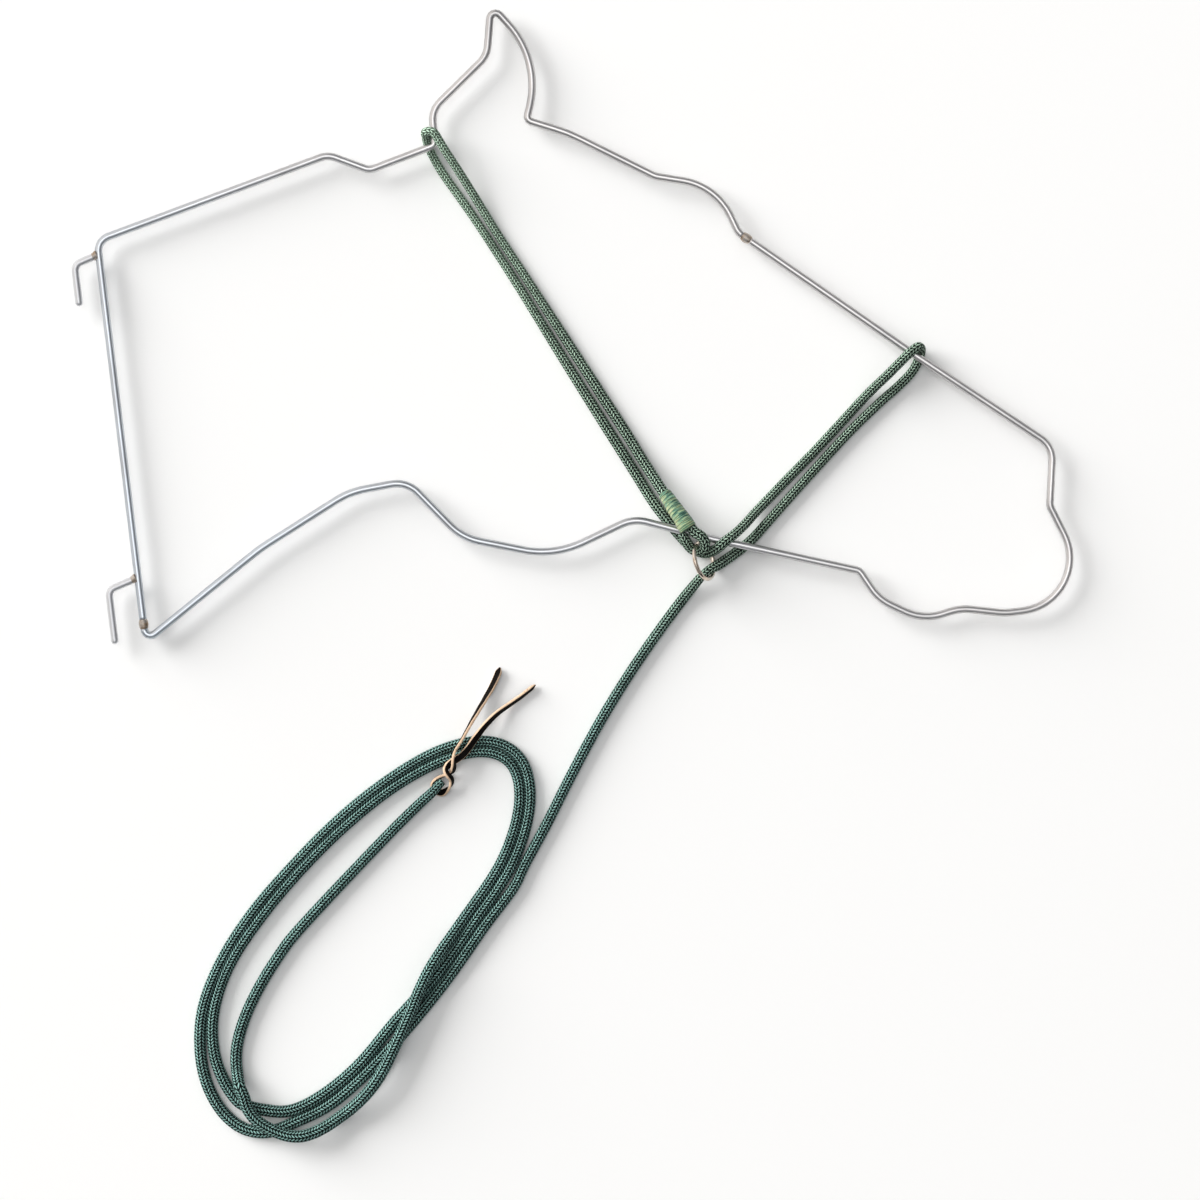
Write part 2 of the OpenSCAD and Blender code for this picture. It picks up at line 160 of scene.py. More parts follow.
# the coil: an egg-shaped loop. Its half length, half width and the three
# terms of its egg shape were fitted to a traced line, and so was the
# table of how far inside the loop the rope runs, in degrees and
# millimetres. None of these numbers was chosen by hand.
COIL_AT, COIL_A, COIL_B, COIL_TURN = (-268, -552.5), 221, 93, 45.5
EGG_LONG, EGG_WIDE, EGG_SKEW = 26, 15.5, 4.5
COIL_IN = [
    (45, -8.4), (60, -0.2), (75, 2), (90, 2.3), (105, 0.5), (120, -0.9),
    (135, 0.9), (150, -1.2), (165, 0), (180, 2.4), (195, 3.6), (210, 2.8),
    (225, 0.6), (240, -2.1), (255, -1.1), (270, 1.8), (285, 5.2), (300, 5.2),
    (315, 4), (330, 1.8), (345, 1.4), (360, 1.6), (375, 0.8), (390, 0.2),
    (405, 2.4), (420, 9.8), (435, 12.2), (450, 15), (465, 11), (480, 10.2),
    (495, 12.2), (510, 19.2), (525, 21.4), (540, 20.4), (555, 20.4),
    (570, 18), (585, 13), (600, 8.2), (615, 7.2), (630, 10.6), (645, 13.2),
    (660, 13.6), (675, 12.6), (690, 11.9), (705, 11.6), (720, 12),
    (735, 10.8), (750, 10.2), (765, 12.4), (780, 19.6), (795, 20.8),
    (810, 5), (825, -11.6), (840, -15.6), (855, -12.4), (870, 4.6),
    (885, 18.6), (900, 28.6), (915, 32), (930, 33.6), (945, 35.1),
    (960, 38.2), (975, 42.1), (990, 45.6), (1005, 48.2)]
# how much of a rope's height it is lifted where it crosses itself
COIL_UP = [
    (60, 0), (780, 0), (795, 1), (825, 1), (840, 0.5), (855, 1), (915, 1),
    (930, 0.1), (945, 0), (1005, 0)]
COIL_FROM, COIL_TO, COIL_STEP = 60, 990, 5
COIL_ENTRY = (-108.5, -511.5)
# the rope looks thicker at the coil's lower end, from Y = -380 down
SWELL, SWELL_FROM, SWELL_OVER = 0.12, -380, 310

# ---- measures, in millimetres ----
LINE_STEP = 2.0
ROPE_SIDES, WIRE_SIDES = 18, 24
STRAP_HALF_T, STRAP_HALF_W, STRAP_STEP = 1.3, 3.25, 1.2
WHIP_R, WHIP_SIDES, TURN_ROWS = 8.2, 32, 6
RING_R, RING_WIRE_R, RING_TURN = 17.5, 2.0, 7.8
# the way from the upright to a hook's leg, and the gap where the weld starts
HOOK_OUT, HOOK_DOWN, HOOK_GAP = 0.96, 0.28, 0.5
HOOK_BEND, HOOK_CORNER, TIP_ROUND, TIP_STEPS = 8, 6, 3.3, 8
# weld beads: half length, rings, and how far they stand proud of the wire
BEAD_HALF, BEAD_STEPS, BEAD_SPAN, BEAD_RISE = 4.4, 24, 9.4, 1.2
COLLAR_FROM, COLLAR_LENGTH, COLLAR_STEPS, COLLAR_RISE = 2.0, 4.4, 16, 1.5

# ---- view and light, in metres, watts and degrees ----
CAMERA_AT, CAMERA_TURN = (0.0066, -0.2501, 3.0), -6.9
CAMERA_SPAN, CAMERA_SENSOR = 1.128, 36.0
FLOOR_HALF = 3.0
LAMPS_AIM = (0, -0.25, 0)
KEY_AT, KEY_SIZE, KEY_POWER = (-21.8, 17.4, 10.0), 20.0, 13150
TOP_AT, TOP_SIZE, TOP_POWER = (-1.2, 1.4, 16.0), 9.0, 400
WINDOW_WAY, WINDOW_GLOW = (-0.735, 0.587, 0.337), (2.2, 2.1, 2.0)
LOW_ROOM, ROOM_STRENGTH = (2.1, 2.1, 2.09), 0.462


# ---- settings ----
def tint(name, text, default):
    return FloatVectorProperty(name=name, description=text, default=default,
                               size=3, min=0.0, max=1.0, subtype="COLOR")


class HalterSizes(bpy.types.PropertyGroup):
    """The sizes of the rope's braid and of the whipping's thread."""
    braid_pitch: FloatProperty(
        name="Braid pitch", default=3.1, min=1.0, max=10.0,
        description="Length of one pick of the braid, in millimetres")
    braid_columns: FloatProperty(
        name="Braid columns", default=10, min=4, max=24,
        description="Columns of picks round the rope, an even number")
    thread_pitch: FloatProperty(
        name="Thread pitch", default=1.05, min=0.4, max=3.0,
        description="Width of one turn of the whipping, in millimetres")


class HalterColours(bpy.types.PropertyGroup):
    """The colours of rope, leather and metal."""
    lead_pick: tint("Lead rope", "Colour of the lead's picks",
                    (0.33, 0.57, 0.52))
    halter_pick: tint("Halter rope", "Colour of the halter's picks",
                      (0.50, 0.69, 0.54))
    rope_gap: tint("Rope gaps", "Colour between the picks",
                   (0.001, 0.004, 0.003))
    wire: tint("Hanger wire", "Colour of the bright steel",
               (0.76, 0.76, 0.77))
    ring: tint("Ring", "Colour of the ring", (0.86, 0.77, 0.67))
    leather: tint("Leather", "Colour of the strap's faces",
                  (0.006, 0.0045, 0.004))
    leather_edge: tint("Leather edge", "Colour of the strap's cut edges",
                       (0.86, 0.62, 0.43))


# ---- shader maths ----
class Num:
    """A socket or a number, with the operators that its formulas use."""

    def __init__(self, shade, value):
        self.shade, self.value = shade, value

    def _math(self, kind, *others, clamp=False):
        node = self.shade.tree.nodes.new("ShaderNodeMath")
        node.operation, node.use_clamp = kind, clamp
        for socket, item in zip(node.inputs, (self,) + others):
            item = item.value if isinstance(item, Num) else item
            if isinstance(item, bpy.types.NodeSocket):
                self.shade.tree.links.new(item, socket)
            else:
                socket.default_value = item
        return Num(self.shade, node.outputs[0])

    def __add__(self, o):
        return self._math("ADD", o)

    def __radd__(self, o):
        return self._math("ADD", o)

    def __sub__(self, o):
        return self._math("SUBTRACT", o)

    def __rsub__(self, o):
        return Num(self.shade, o)._math("SUBTRACT", self)

    def __mul__(self, o):
        return self._math("MULTIPLY", o)

    def __rmul__(self, o):
        return self._math("MULTIPLY", o)

    def __truediv__(self, o):
        return self._math("DIVIDE", o)

    def __mod__(self, o):
        return self._math("MODULO", o)

    def __pow__(self, o):
        return self._math("POWER", o)

    def floor(self):
        return self._math("FLOOR")

    def fract(self):
        return self._math("FRACT")

    def abs(self):
        return self._math("ABSOLUTE")

    def least(self, o):
        return self._math("MINIMUM", o)

    def above(self, o):
        return self._math("GREATER_THAN", o)

    def step(self, low, high):
        """0 below low, 1 above high, and smooth between."""
        t = self.shade.node("ShaderNodeMapRange",
                            {"interpolation_type": "SMOOTHSTEP"},
                            {0: self, 1: low, 2: high, 3: 0.0, 4: 1.0})
        return t["Result"]


class Shade:
    """The node tree of a material, or of the world."""

    def __init__(self, name, world=None):
        self.material = world or bpy.data.materials.new(name)
        self.material.use_nodes = True
        self.tree = self.material.node_tree
        self.tree.nodes.clear()

    def node(self, kind, settings=None, sockets=None):
        node = self.tree.nodes.new(kind)
        for key, value in (settings or {}).items():
            if key == "stops":
                ramp = node.color_ramp
                while len(ramp.elements) < len(value):
                    ramp.elements.new(0.5)
                for element, (at, colour) in zip(ramp.elements, value):
                    element.position, element.color = at, (*colour, 1)
            else:
                setattr(node, key, value)
        for key, value in (sockets or {}).items():
            value = value.value if isinstance(value, Num) else value
            if isinstance(value, bpy.types.NodeSocket):
                self.tree.links.new(value, node.inputs[key])
            else:
                if (isinstance(value, (tuple, list)) and len(value) == 3
                        and node.inputs[key].type == "RGBA"):
                    value = (*value, 1)
                node.inputs[key].default_value = value
        outs = {}
        for out in node.outputs:
            if out.enabled:
                outs.setdefault(out.name, Num(self, out))
        return outs

    def object_point(self):
        return self.node("ShaderNodeTexCoord")["Object"]

    def along_and_round(self):
        """Metres along the piece, and 0 to 1 round it, from its UV map."""
        uv = self.node("ShaderNodeUVMap", {"uv_map": "along"})["UV"]
        parts = self.node("ShaderNodeSeparateXYZ", None, {0: uv})
        return parts["X"], parts["Y"]

    def point(self, x, y, z=0.0):
        return self.node("ShaderNodeCombineXYZ", None,
                         {0: x, 1: y, 2: z})["Vector"]

    def noise(self, at, scale, detail=2.0, rough=0.5):
        return self.node("ShaderNodeTexNoise", None, {
            "Vector": at, "Scale": scale, "Detail": detail,
            "Roughness": rough})["Fac"]

    def speckle(self, at):
        return self.node("ShaderNodeTexWhiteNoise",
                         {"noise_dimensions": "2D"},
                         {"Vector": at})["Value"]

    def mix(self, share, a, b, blend="MIX"):
        return self.node("ShaderNodeMix", {"data_type": "RGBA",
                                           "blend_type": blend},
                         {0: share, 6: a, 7: b})["Result"]

    def bump(self, height, distance, strength=1.0):
        return self.node("ShaderNodeBump", None, {
            "Strength": strength, "Distance": distance,
            "Height": height})["Normal"]

    def finish(self, **sockets):
        names = {"colour": "Base Color", "rough": "Roughness",
                 "metal": "Metallic", "normal": "Normal", "ior": "IOR",
                 "coat": "Coat Weight", "sheen": "Sheen Weight",
                 "specular": "Specular IOR Level",
                 "edge": "Specular Tint"}
        surface = self.node("ShaderNodeBsdfPrincipled", None,
                            {names[k]: v for k, v in sockets.items()})
        self.node("ShaderNodeOutputMaterial", None,
                  {"Surface": surface["BSDF"]})
        return self.material


def braided_rope(name, pick, gap, pitch, columns, fade=None):
    """A twill braid: slanted picks in columns that mirror each other."""
    s = Shade(name)
    along, round_ = s.along_and_round()
    lane = round_ * columns
    column = lane.floor()
    side = column % 2.0
    across = lane.fract() - 0.5
    slant = across * (1 - side * 2.0)
    run = along / (pitch * MM) + slant * 1.1
    row = run.floor()
    in_pick = run.fract() * 2.0 - 1.0
    crest = 1 - in_pick * in_pick
    edge = 1 - (across * 2.0).abs() ** 3.0
    height = crest * edge
    seen = height.step(0.60, 0.78)
    thread = s.speckle(s.point(row, column))
    wide = s.noise(s.object_point(), 16.0, 3.0)
    fibre = s.noise(s.point(along * 4000.0, round_ * 260.0), 1.0, 2.0)
    place = s.node("ShaderNodeSeparateXYZ", None, {0: s.object_point()})
    # lighter picks and paler, greener gaps towards +Y: full from Y = 0.22 m
    # up, none below Y = -0.1 m
    tone_shift = place["Y"].step(-0.1, 0.22)
    bright = ((0.7 + thread * 0.45 + (wide - 0.5) * 0.5
               + (fibre - 0.5) * 0.4) * (0.87 + tone_shift * 0.3))
    tone = s.point(bright, bright, bright)
    body = s.mix(1.0, pick, tone, "MULTIPLY")
    if fade:
        lighter = s.mix(1.0, fade[0], tone, "MULTIPLY")
        body = s.mix(along.step(fade[1], fade[2]), body, lighter)
    gap = s.mix(tone_shift, gap, (0.06, 0.085, 0.06))
    return s.finish(
        colour=s.mix(seen, gap, body), rough=0.9 - seen * 0.25, specular=0.12,
        normal=s.bump(height + fibre * 0.08, 0.0007, 0.9))


def drawn_steel(name, colour, rough=0.2):
    """Bright wire, with the faint streaks of its drawing and a painted
    reflection, warm at the upper right and blue-grey at the lower left.
    """
    s = Shade(name)
    along, round_ = s.along_and_round()
    streak = s.noise(s.point(along * 14.0, round_ * 70.0), 1.0, 3.0)
    patch = s.noise(s.object_point(), 22.0, 3.0)
    place = s.node("ShaderNodeSeparateXYZ", None, {0: s.object_point()})
    # painted reflection: the steel's colour is tinted warm towards +X and +Y
    # and blue-grey towards -X and -Y, standing in for the room reflected in
    # the wire
    high = (place["Y"] * 1.2 + place["X"] * 1.5 + 0.75).step(0.0, 1.0)
    reflection_tinted = s.mix(0.6, colour,
                   s.mix(high, (0.62, 0.72, 0.82), (0.78, 0.74, 0.72)))
    dull = s.mix(patch.step(0.45, 0.75) * 0.4, reflection_tinted,
                 tuple(c * 0.6 for c in colour))
    return s.finish(
        colour=s.mix(streak * 0.3, dull, tuple(c * 0.8 for c in colour)),
        metal=1.0, edge=(0.1, 0.1, 0.1),
        rough=rough + streak * 0.12 + patch * 0.08,
        normal=s.bump(streak, 0.00004, 0.6))


def weld_metal(name, colour):
    """A weld bead with heat colour fading out from it."""
    s = Shade(name)
    at = s.object_point()
    grain = s.noise(at, 900.0, 3.0)
    heat = s.noise(at, 130.0, 2.0)
    straw = s.mix(heat.step(0.35, 0.65), colour, (0.42, 0.30, 0.20))
    return s.finish(colour=s.mix(grain.step(0.55, 0.75) * 0.5, straw,
                                 (0.16, 0.14, 0.14)),
                    metal=1.0, rough=0.34 + grain * 0.2,
                    normal=s.bump(grain, 0.0001, 0.7))


def ring_metal(name, colour):
    """Plated metal, polished where the rope rubs it."""
    s = Shade(name)
    at = s.object_point()
    tone_shift = s.noise(at, 160.0, 3.0)
    fine = s.noise(at, 1400.0, 2.0)
    tone = s.mix(tone_shift.step(0.4, 0.7) * 0.7, colour, (0.45, 0.33, 0.24))
    return s.finish(colour=tone, metal=1.0, rough=0.1 + tone_shift * 0.14,
                    normal=s.bump(fine, 0.00003, 0.5))


def wound_thread(name, pitch):
    """Waxed whipping thread in pale and green bands, with a painted highlight
    along its side towards -X.
    """
    s = Shade(name)
    along, round_ = s.along_and_round()
    turn = along / (pitch * MM) + round_
    groove = 1 - (turn.fract() * 2.0 - 1.0).abs() ** 2.0
    layer = turn * 0.27
    seam = 1 - (layer.fract() * 2.0 - 1.0).abs().step(0.55, 0.95)
    place = s.node("ShaderNodeSeparateXYZ", None, {0: s.object_point()})
    # painted highlight: the side of the whipping towards -X is pushed up the
    # ramp towards pale yellow
    painted_highlight_side = (place["X"] * -0.89 - place["Y"] * 0.45).step(0.0005, 0.0075)
    band = s.noise(s.point(layer.floor() * 3.7, round_ * 2.6), 1.0, 1.0)
    fine = s.noise(s.point(turn * 1.1, round_ * 4.0), 1.0, 3.0)
    tone = (band.step(0.3, 0.7) * 0.35 + fine.step(0.40, 0.60) * 0.5
            + painted_highlight_side * 0.3 - 0.03)
    shade = s.node("ShaderNodeValToRGB", {"stops": [
        (0.0, (0.01, 0.05, 0.04)), (0.26, (0.05, 0.20, 0.15)),
        (0.48, (0.36, 0.66, 0.47)), (0.66, (0.80, 0.88, 0.44)),
        (1.0, (1.0, 0.96, 0.66))]}, {0: tone})["Color"]
    body = s.mix(along.step(0.03, 0.06) * 0.75, shade, (0.08, 0.24, 0.09))
    fibre = s.noise(s.point(along * 900.0, round_ * 150.0), 1.0, 2.0)
    body = s.mix((fibre - 0.3).step(0.0, 0.5) * 0.7, body,
                 (0.03, 0.10, 0.06))
    return s.finish(colour=s.mix(groove.step(0.0, 0.4) * (0.25 + seam * 0.75),
                                 (0.02, 0.06, 0.04), body),
                    rough=0.55, sheen=0.1,
                    normal=s.bump(groove + fibre * 0.2, 0.0003, 0.9))


def strap_leather(name, face, cut):
    """Dark waxed leather with pale cut edges."""
    s = Shade(name)
    along, round_ = s.along_and_round()
    at = s.object_point()
    # the two cut edges and their bevels lie round 0 and .5, a twelfth wide
    half = ((round_ * 2.0 - 0.083).fract() - 0.5).abs()
    fibre = s.noise(s.point(along * 700.0, round_ * 240.0), 1.0, 3.0)
    edge = half.step(0.265, 0.285)
    grain = s.node("ShaderNodeTexVoronoi", {"feature": "DISTANCE_TO_EDGE"},
                   {"Vector": at, "Scale": 1400.0})["Distance"]
    crease = s.noise(at, 260.0, 3.0)
    dark = s.mix(crease.step(0.5, 0.72) * 0.6, face,
                 tuple(c * 2.5 for c in face))
    pale = s.mix(fibre.step(0.3, 0.7) * 0.45, cut,
                 tuple(c * 0.55 for c in cut))
    return s.finish(
        colour=s.mix(edge, dark, pale), rough=0.7 + edge * 0.15,
        specular=0.08,
        normal=s.bump(grain.least(0.12) * 3.0 + crease * 0.4, 0.0002, 0.6))


# ---- building tools ----
def smooth_route(points, step):
    """Points a step apart on a smooth curve through the route's points."""
    rows = [Vector(p) for p in points]
    ends = [rows[0] * 2 - rows[1]] + rows + [rows[-1] * 2 - rows[-2]]
    dense = []
    for a, b, c, d in zip(ends, ends[1:], ends[2:], ends[3:]):
        t1 = max((b.xyz - a.xyz).length, 1e-6) ** 0.5
        t2 = t1 + max((c.xyz - b.xyz).length, 1e-6) ** 0.5
        t3 = t2 + max((d.xyz - c.xyz).length, 1e-6) ** 0.5
        parts = max(2, int((c.xyz - b.xyz).length / step) + 1)
        for k in range(parts):
            t = t1 + (t2 - t1) * k / parts
            p = a * ((t1 - t) / t1) + b * (t / t1)
            q = b * ((t2 - t) / (t2 - t1)) + c * ((t - t1) / (t2 - t1))
            r = c * ((t3 - t) / (t3 - t2)) + d * ((t - t2) / (t3 - t2))
            m = p * ((t2 - t) / t2) + q * (t / t2)
            n = q * ((t3 - t) / (t3 - t1)) + r * ((t - t1) / (t3 - t1))
            dense.append(m * ((t2 - t) / (t2 - t1))
                         + n * ((t - t1) / (t2 - t1)))
    dense.append(rows[-1])
    return dense


def even(points, step):
    """The same line with points an even step apart."""
    gone = [0.0]
    for a, b in zip(points, points[1:]):
        gone.append(gone[-1] + (b.xyz - a.xyz).length)
    count = max(2, round(gone[-1] / step))
    out, i = [], 0
    for k in range(count + 1):
        s = gone[-1] * k / count
        while i < len(points) - 2 and gone[i + 1] < s:
            i += 1
        share = (s - gone[i]) / max(gone[i + 1] - gone[i], 1e-9)
        out.append(points[i].lerp(points[i + 1], min(max(share, 0), 1)))
    return out


def carried_frames(points, first=None):
    """A side and an up at each point, carried along without twist."""
    heads = []
    for i in range(len(points)):
        a, b = points[max(i - 1, 0)], points[min(i + 1, len(points) - 1)]
        heads.append((b.xyz - a.xyz).normalized())
    side = first or heads[0].cross(Vector((0, 0, 1)))
    out = []
    for head in heads:
        side = (side - head * side.dot(head)).normalized()
        out.append((side, side.cross(head)))
    return out


def round_section(count):
    turns = [2 * math.pi * k / count for k in range(count)]
    return [(math.cos(t), math.sin(t)) for t in turns]


def sweep(name, rings, material, body, floor=None, smooth=True):
    """A closed skin through rings of points, with metres along it and
    0 to 1 round it in its UV map."""
    rows, around = len(rings) - 1, len(rings[0])
    gone = [0.0]
    for a, b in zip(rings, rings[1:]):
        mid_a = sum((Vector(p) for p in a), Vector()) / around
        mid_b = sum((Vector(p) for p in b), Vector()) / around
        gone.append(gone[-1] + (mid_b - mid_a).length)
    bm = bmesh.new()
    layer = bm.loops.layers.uv.new("along")
    bmesh.ops.create_grid(bm, x_segments=rows, y_segments=around, size=1,
                          calc_uvs=True)
    for face in bm.faces:
        for loop in face.loops:
            loop[layer].uv = (
                gone[round((loop.vert.co.x + 1) / 2 * rows)] * MM,
                round((loop.vert.co.y + 1) / 2 * around) / around)
    for vert in bm.verts:
        i = round((vert.co.x + 1) / 2 * rows)
        k = round((vert.co.y + 1) / 2 * around) % around
        x, y, z = rings[i][k]
        vert.co = Vector((x, y, z if floor is None else max(z, floor))) * MM
    bmesh.ops.remove_doubles(bm, verts=bm.verts, dist=1e-8)
    rim = [e for e in bm.edges if e.is_boundary]
    bmesh.ops.holes_fill(bm, edges=rim, sides=0)
    bmesh.ops.recalc_face_normals(bm, faces=bm.faces)
    mesh = bpy.data.meshes.new(name)
    bm.to_mesh(mesh)
    bm.free()
    for face in mesh.polygons:
        face.use_smooth = smooth
    piece = bpy.data.objects.new(name, mesh)
    bpy.context.collection.objects.link(piece)
    mesh.materials.append(material)
    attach(piece, body)
    return piece


def tube(name, line, radii, material, body, sides=18, floor=None,
         first=None):
    """A round skin along a line, with a radius for each of its points."""
    section = round_section(sides)
    rings = []
    for p, r, (side, up) in zip(line, radii, carried_frames(line, first)):
        rings.append([p.xyz + side * (a * r) + up * (b * r)
                      for a, b in section])
    return sweep(name, rings, material, body, floor)


def bent_line(route, z, fine=4.0):
    """The centre line of a wire with its corners bent to their radii."""
    pts = [Vector((x, y, z)) for x, y, _ in route]
    out = [pts[0]]
    for a, b, c, (_, _, radius) in zip(pts, pts[1:], pts[2:], route[1:]):
        u, w = (a - b).normalized(), (c - b).normalized()
        reach = radius / math.tan(u.angle(w) / 2)
        middle = b + (u + w).normalized() * math.hypot(reach, radius)
        s, e = b + u * reach - middle, b + w * reach - middle
        turn = s.angle(e)
        axis = s.cross(e).normalized()
        count = max(4, math.ceil(math.degrees(turn) / fine))
        for k in range(count + 1):
            out.append(middle + Matrix.Rotation(turn * k / count, 3, axis)
                       @ s)
    out.append(pts[-1])
    return even(out, 2.5)


def rope_rows(route):
    """Route points as x, y, z and radius, in millimetres."""
    return [Vector((x, y, LIE_Z + h * STEP_Z, r * SKIN * ROPE_D / 2))
            for x, y, h, r in route]


def between(table, at):
    for (a, low), (b, high) in zip(table, table[1:]):
        if at <= b:
            return low + (high - low) * (at - a) / (b - a)
    return table[-1][1]


def eased(table, at):
    """Like between, with the corners at the table's rows rounded off."""
    last = len(table) - 1
    i = next((k for k in range(last) if at <= table[k + 1][0]), last - 1)
    slopes = []
    for k in (i, i + 1):
        a, b = table[max(k - 1, 0)], table[min(k + 1, last)]
        slopes.append((b[1] - a[1]) / (b[0] - a[0]))
    (a, low), (b, high) = table[i:i + 2]
    span = b - a
    t = (at - a) / span
    ease = t * t * (3 - 2 * t)
    return (low + (high - low) * ease
            + t * (1 - t) * span * ((1 - t) * slopes[0] - t * slopes[1]))


def loop_point(s):
    t = math.radians(s)
    u = COIL_A * math.cos(t) + EGG_LONG * math.cos(2 * t)
    v = (-(COIL_B + EGG_WIDE * math.cos(t)) * math.sin(t)
         - EGG_SKEW * math.cos(2 * t))
    c, n = (math.cos(math.radians(COIL_TURN)),
            math.sin(math.radians(COIL_TURN)))
    return Vector((COIL_AT[0] + u * c - v * n, COIL_AT[1] + u * n + v * c))


def coil_point(s):
    head = loop_point(s + 0.5) - loop_point(s - 0.5)
    inward = Vector((head.y, -head.x)).normalized()
    p = loop_point(s) + eased(COIL_IN, s) * inward
    up = between(COIL_UP, s) * (ROPE_D + 0.5)
    swell = 1 + SWELL * min(1.0, max(0.0, (SWELL_FROM - p.y) / SWELL_OVER))
    return Vector((p.x, p.y, LIE_Z + up, SKIN * ROPE_D / 2 * swell))


def halter_line():
    """The halter rope's whole centre line, and where its cuts fall."""
    parts = [rope_rows(r) for r in (EYE + CROWN, NOSE, LEAD)]
    line = even(smooth_route(sum(parts, []), LINE_STEP), LINE_STEP)
    cuts = []
    for part in (parts[1], parts[2]):
        cuts.append(min(range(len(line)),
                        key=lambda i: (line[i].xyz - part[0].xyz).length))
    return line, cuts


def rope_piece(name, line, material):
    return tube(name, line, [p.w for p in line], material, "halter",
                ROPE_SIDES, floor=0.0)


# ---- operators ----
class HALTER_OT_camera(bpy.types.Operator):
    """Camera straight above the table."""
    bl_idname = "halter.camera"
    bl_label = "Camera"

    def execute(self, context):
        data = bpy.data.cameras.new("camera")
        data.sensor_width = CAMERA_SENSOR
        data.lens = CAMERA_SENSOR * (CAMERA_AT[2] - WIRE_Z * MM) / CAMERA_SPAN
        data.clip_end = 20.0
        camera = bpy.data.objects.new("camera", data)
        context.collection.objects.link(camera)
        camera.matrix_world = (
            Matrix.Translation(CAMERA_AT)
            @ Matrix.Rotation(math.radians(CAMERA_TURN), 4, "Z"))
        context.scene.camera = camera
        return {"FINISHED"}


class HALTER_OT_halter_rope(bpy.types.Operator):
    """The crown loop and the nose loop, one braided rope."""
    bl_idname = "halter.halter_rope"
    bl_label = "Halter rope"

    def execute(self, context):
        sizes = context.scene.halter_sizes
        colours = context.scene.halter_colours
        rope = braided_rope("halter_braid", tuple(colours.halter_pick),
                            tuple(colours.rope_gap), sizes.braid_pitch,
                            sizes.braid_columns)
        line, (first, second) = halter_line()
        crown = rope_piece("crown_loop", line[:first + 1], rope)
        nose = rope_piece("nose_loop", line[first:second + 1], rope)
        for piece, node, run in ((crown, "crown_rope", line[:first + 1]),
                                 (nose, "nose_rope", line[first:second + 1])):
            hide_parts(node)
        return {"FINISHED"}


class HALTER_OT_lead(bpy.types.Operator):
    """The lead, its coil and its tapered free end."""
    bl_idname = "halter.lead"
    bl_label = "Lead and coil"

    def execute(self, context):
        sizes = context.scene.halter_sizes
        colours = context.scene.halter_colours
        rope = braided_rope("lead_braid", tuple(colours.halter_pick),
                            tuple(colours.rope_gap), sizes.braid_pitch,
                            sizes.braid_columns,
                            fade=(tuple(colours.lead_pick), -0.08, 0.24))
        halter, (_, second) = halter_line()
        start = halter[second:]
        loops = [coil_point(s)
                 for s in range(COIL_FROM, COIL_TO + 1, COIL_STEP)]
        entry = Vector((*COIL_ENTRY, LIE_Z, SKIN * ROPE_D / 2))
        rest = smooth_route([start[-1], entry] + loops + rope_rows(FREE_END),
                            LINE_STEP)
        line = even(start[:-1] + rest, LINE_STEP)
        lead = rope_piece("lead", line, rope)
        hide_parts("lead_rope", "lead_coil")
        return {"FINISHED"}


class HALTER_OT_popper(bpy.types.Operator):
    """The leather popper, one strap looped through the rope's end."""
    bl_idname = "halter.popper"
    bl_label = "Leather popper"

    def execute(self, context):
        colours = context.scene.halter_colours
        leather = strap_leather("strap_leather", tuple(colours.leather),
                                tuple(colours.leather_edge))
        lean = [Vector(p) for p in POPPER]
        line = even(smooth_route(lean, STRAP_STEP), STRAP_STEP)
        t, w = STRAP_HALF_T, STRAP_HALF_W
        section = [(0.75 * t, w), (-0.75 * t, w), (-t, 0.86 * w),
                   (-t, 0.45 * w), (-t, -0.45 * w), (-t, -0.86 * w),
                   (-0.75 * t, -w), (0.75 * t, -w), (t, -0.86 * w),
                   (t, -0.45 * w), (t, 0.45 * w), (t, 0.86 * w)]
        rings = []
        for i, p in enumerate(line):
            a, b = line[max(i - 1, 0)], line[min(i + 1, len(line) - 1)]
            head = (b.xyz - a.xyz).to_2d().normalized()
            side = Vector((head.y, -head.x, 0))
            turn = math.radians(p.w)
            up = Vector((0, 0, math.cos(turn))) - side * math.sin(turn)
            across = side * math.cos(turn) + Vector((0, 0, math.sin(turn)))
            wave = noise.noise(p.xyz * 0.11) * 0.35
            tip = min(1.0, 0.3 + min(i, len(line) - 1 - i) * 0.2)
            rings.append([p.xyz + across * (x * tip + wave) + up * (y * tip)
                          for x, y in section])
        strap = sweep("popper_strap", rings, leather, "halter", floor=0.05)
        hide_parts("popper")
        return {"FINISHED"}


class HALTER_OT_whipping(bpy.types.Operator):
    """The thread whipping that binds the crown loop to the ring."""
    bl_idname = "halter.whipping"
    bl_label = "Whipping"

    def execute(self, context):
        pitch = context.scene.halter_sizes.thread_pitch
        thread = wound_thread("whipping_thread", pitch)
        rows = [Vector((x, y, LIE_Z + h * STEP_Z, r * WHIP_R))
                for x, y, h, r in WHIPPING]
        line = even(smooth_route(rows, 0.3), pitch / TURN_ROWS)
        section = round_section(WHIP_SIDES)
        rings = []
        for i, (p, (side, up)) in enumerate(zip(line, carried_frames(line))):
            ring = []
            for k, (a, b) in enumerate(section):
                turn = i / TURN_ROWS + k / WHIP_SIDES
                bulge = abs(math.sin(math.pi * turn)) ** 0.6
                end = min(i, len(line) - 1 - i) / TURN_ROWS
                r = (p.w - 0.5 + 0.5 * bulge
                     + 0.3 * noise.noise(Vector((i * 0.04, k * 0.12, 0)))
                     - 1.2 * max(0.0, 1 - end / 1.5) ** 2)
                ring.append(p.xyz + side * (a * r) + up * (b * r))
            rings.append(ring)
        piece = sweep("whipping_thread", rings, thread, "halter")
        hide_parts("whipping")
        return {"FINISHED"}


